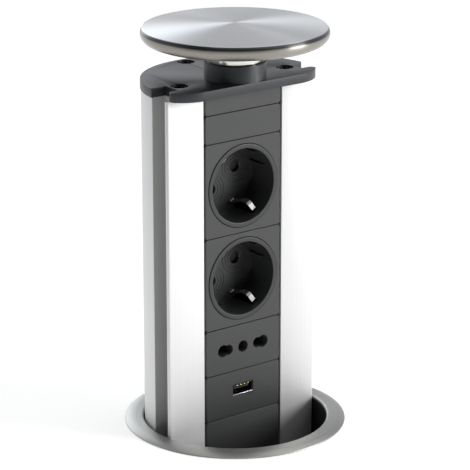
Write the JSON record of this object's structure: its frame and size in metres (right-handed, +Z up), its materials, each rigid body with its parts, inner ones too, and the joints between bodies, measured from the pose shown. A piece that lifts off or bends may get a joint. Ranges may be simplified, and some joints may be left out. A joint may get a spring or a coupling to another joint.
{
  "type": "pop up desk socket",
  "caption": "Round lidded socket tower that slides up through a ring in a worktop, with earthed, three pin and charging outlets in an aluminium column.",
  "frame": {"origin": "on the tower's axis at the worktop's top surface, where the ring rests", "axes": "+Z up along the lift, the modules face -Y, +X to the right seen from the front"},
  "size_m": [0.1212, 0.1212, 0.2846],
  "materials": {
    "satin_steel": "satin stainless steel, brushed round the ring",
    "lid_steel": "stainless steel, circular brushing on the top, satin rim",
    "bright_metal": "polished",
    "spring_steel": "plain spring steel",
    "zinc_steel": "zinc plated",
    "anodised": "natural anodised, fine brushing along the length",
    "sleeve_plastic": "matt black",
    "slide_plastic": "plain, natural",
    "nut_plastic": "matt black",
    "plate_plastic": "satin anthracite",
    "neck_plastic": "satin black",
    "black_screw": "blackened",
    "panel_plastic": "satin anthracite",
    "insert_plastic": "satin anthracite",
    "shutter_plastic": "plain",
    "base_plastic": "plain",
    "plated_strip": "nickel plated",
    "contact_brass": "plain",
    "port_metal": "nickel plated",
    "tongue_plastic": "moulded",
    "gold_strip": "gold plated",
    "board_laminate": "lacquered laminate",
    "coil_plastic": "taped winding",
    "can_metal": "plain can",
    "block_plastic": "moulded"
  },
  "bodies": {
    "mounting": {"trim_ring": "satin_steel", "guide_sleeve": "sleeve_plastic", "left_glide": "slide_plastic", "right_glide": "slide_plastic", "left_glide_spring": "spring_steel", "right_glide_spring": "spring_steel"},
    "washer": {"thrust_washer": "zinc_steel"},
    "nut": {"clamp_nut": "nut_plastic"},
    "tower": {"column_profile": "anodised", "top_plate": "plate_plastic", "top_screws": "black_screw", "end_screws": "zinc_steel", "lid_hub": "bright_metal", "lid": "lid_steel", "lid_insert": "neck_plastic", "lid_bolt": "zinc_steel", "end_plate": "base_plastic", "top_strip": "panel_plastic", "blank_strip": "panel_plastic", "lower_blank": "panel_plastic", "three_pin_face": "panel_plastic", "three_pin_contacts": "contact_brass", "three_pin_base": "base_plastic", "charging_face": "panel_plastic", "port_shell": "port_metal", "port_tongue": "tongue_plastic", "port_contacts": "gold_strip", "charger_board": "board_laminate", "charger_transformer": "coil_plastic", "charger_capacitors": "can_metal", "charging_base": "base_plastic", "terminal_block": "block_plastic", "upper_face": "panel_plastic", "upper_insert": "insert_plastic", "upper_earth_strap": "plated_strip", "upper_contacts": "contact_brass", "upper_base": "base_plastic", "lower_face": "panel_plastic", "lower_insert": "insert_plastic", "lower_earth_strap": "plated_strip", "lower_contacts": "contact_brass", "lower_base": "base_plastic"},
    "upper_shutter": {"upper_shutter": "shutter_plastic"},
    "lower_shutter": {"lower_shutter": "shutter_plastic"},
    "three_pin_shutter": {"three_pin_shutter": "shutter_plastic"}
  },
  "joints": [
    {"name": "tower_lift", "type": "slide", "parent": "mounting", "child": "tower", "axis": [0, 0, 1], "range_m": [-0.2067, 0]},
    {"name": "washer_rise", "type": "slide", "parent": "mounting", "child": "washer", "axis": [0, 0, 1], "range_m": [-0.006, 0]},
    {"name": "nut_turn", "type": "hinge", "parent": "washer", "child": "nut", "pos_m": [0, 0, -0.0376], "axis": [0, 0, 1], "range_deg": [-720, 0]},
    {"name": "upper_shutter_turn", "type": "hinge", "parent": "tower", "child": "upper_shutter", "pos_m": [0, 0.0137, 0.129], "axis": [0, -1, 0], "range_deg": [0, 45], "stiffness_Nm_per_rad": 0.004, "springref_deg": -11.46},
    {"name": "lower_shutter_turn", "type": "hinge", "parent": "tower", "child": "lower_shutter", "pos_m": [0, 0.0137, 0.079], "axis": [0, -1, 0], "range_deg": [0, 45], "stiffness_Nm_per_rad": 0.004, "springref_deg": -11.46},
    {"name": "three_pin_shutter_slide", "type": "slide", "parent": "tower", "child": "three_pin_shutter", "axis": [0, 0, 1], "range_m": [-0.0066, 0], "stiffness_N_per_m": 60, "springref_m": 0.004}
  ],
  "couplings": [
    {"joint": "washer_rise", "follows": "nut_turn", "m_per_rad": 0.000477}
  ]
}
